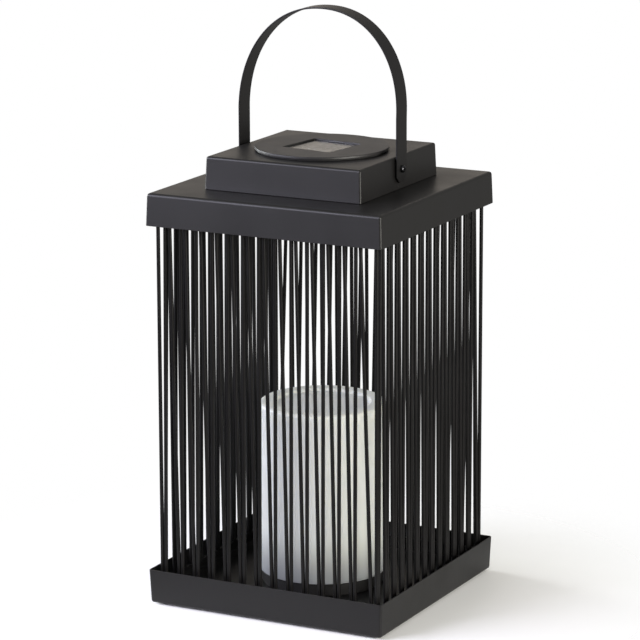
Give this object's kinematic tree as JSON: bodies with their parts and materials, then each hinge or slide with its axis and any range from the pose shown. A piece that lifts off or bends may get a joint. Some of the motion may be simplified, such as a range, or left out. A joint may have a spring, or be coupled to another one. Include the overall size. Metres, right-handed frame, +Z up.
{
  "type": "solar lantern",
  "caption": "Square wire-cage solar lantern: a pillar candle with an LED on a steel tray, a steel cap with a drop-in round solar unit, and a folding bail handle.",
  "frame": {"origin": "centre of the square footprint, on the surface that the lantern stands on", "axes": "+Z up, -Y out of the front, +X out of the right side, which holds one end of the handle"},
  "size_m": [0.2032, 0.2032, 0.466],
  "materials": {
    "black_coat": "fine matt black powder coat",
    "wire_coat": "satin black coat on round wire",
    "strap_coat": "satin black coat",
    "black_screw": "black passivated steel",
    "zinc": "bright zinc plate",
    "black_plastic": "fine moulded grain",
    "rubber": "matt",
    "lead_sheath": "smooth extruded sheath",
    "candle_wax": "translucent wax-like plastic",
    "clear_cover": "clear gloss",
    "silicon": "dark cell with fine fingers",
    "circuit": "green solder mask",
    "battery_sleeve": "shrink sleeve",
    "diode": "warm white lens",
    "switch_white": "moulded"
  },
  "bodies": {
    "root": {"base_tray": "black_coat", "base_foot_1": "rubber", "base_foot_2": "rubber", "base_foot_3": "rubber", "base_foot_4": "rubber", "base_nut_1": "zinc", "base_nut_2": "zinc", "base_nut_3": "zinc", "base_nut_4": "zinc", "cage_front": "wire_coat", "cage_right": "wire_coat", "cage_back": "wire_coat", "cage_left": "wire_coat", "lid_cap": "black_coat", "lid_nut_1": "zinc", "lid_nut_2": "zinc", "lid_nut_3": "zinc", "lid_nut_4": "zinc", "solar_housing": "black_coat", "housing_screw_1": "black_screw", "housing_screw_2": "black_screw", "housing_screw_3": "black_screw", "housing_screw_4": "black_screw", "candle_base": "black_plastic", "candle_shell": "candle_wax", "candle_board": "circuit", "candle_led": "diode", "candle_screw_1": "zinc", "candle_screw_2": "zinc", "power_socket": "black_plastic", "power_lead": "lead_sheath", "lead_clip_1": "black_plastic", "lead_clip_2": "black_plastic", "lead_clip_3": "black_plastic", "pivot_screw_left": "black_screw", "pivot_screw_right": "black_screw", "pivot_washer_left": "zinc", "pivot_washer_right": "zinc", "pivot_nut_left": "zinc", "pivot_nut_right": "zinc"},
    "handle": {"handle_strap": "strap_coat"},
    "seal": {"solar_seal": "rubber"},
    "solar_unit": {"solar_bezel": "black_plastic", "cell_cover": "clear_cover", "solar_cell": "silicon", "unit_case": "black_plastic", "battery": "battery_sleeve", "battery_spring": "zinc", "battery_contact": "zinc", "circuit_board": "circuit", "battery_door": "black_plastic", "door_screw": "zinc", "switch_body": "black_plastic", "power_plug": "zinc"},
    "switch": {"switch_slider": "switch_white"}
  },
  "joints": [
    {"name": "handle_pivot", "type": "hinge", "parent": "root", "child": "handle", "pos_m": [0, 0, 0.3447], "axis": [1, 0, 0], "range_deg": [-70, 70]},
    {"name": "unit_lift", "type": "slide", "parent": "root", "child": "seal", "axis": [0, 0, 1], "range_m": [0, 0.045]},
    {"name": "unit_turn", "type": "hinge", "parent": "seal", "child": "solar_unit", "pos_m": [0, 0, 0.353], "axis": [0, 0, 1], "continuous": true},
    {"name": "switch_slide", "type": "slide", "parent": "solar_unit", "child": "switch", "axis": [0.9903, -0.1392, 0], "range_m": [0, 0.002]}
  ]
}
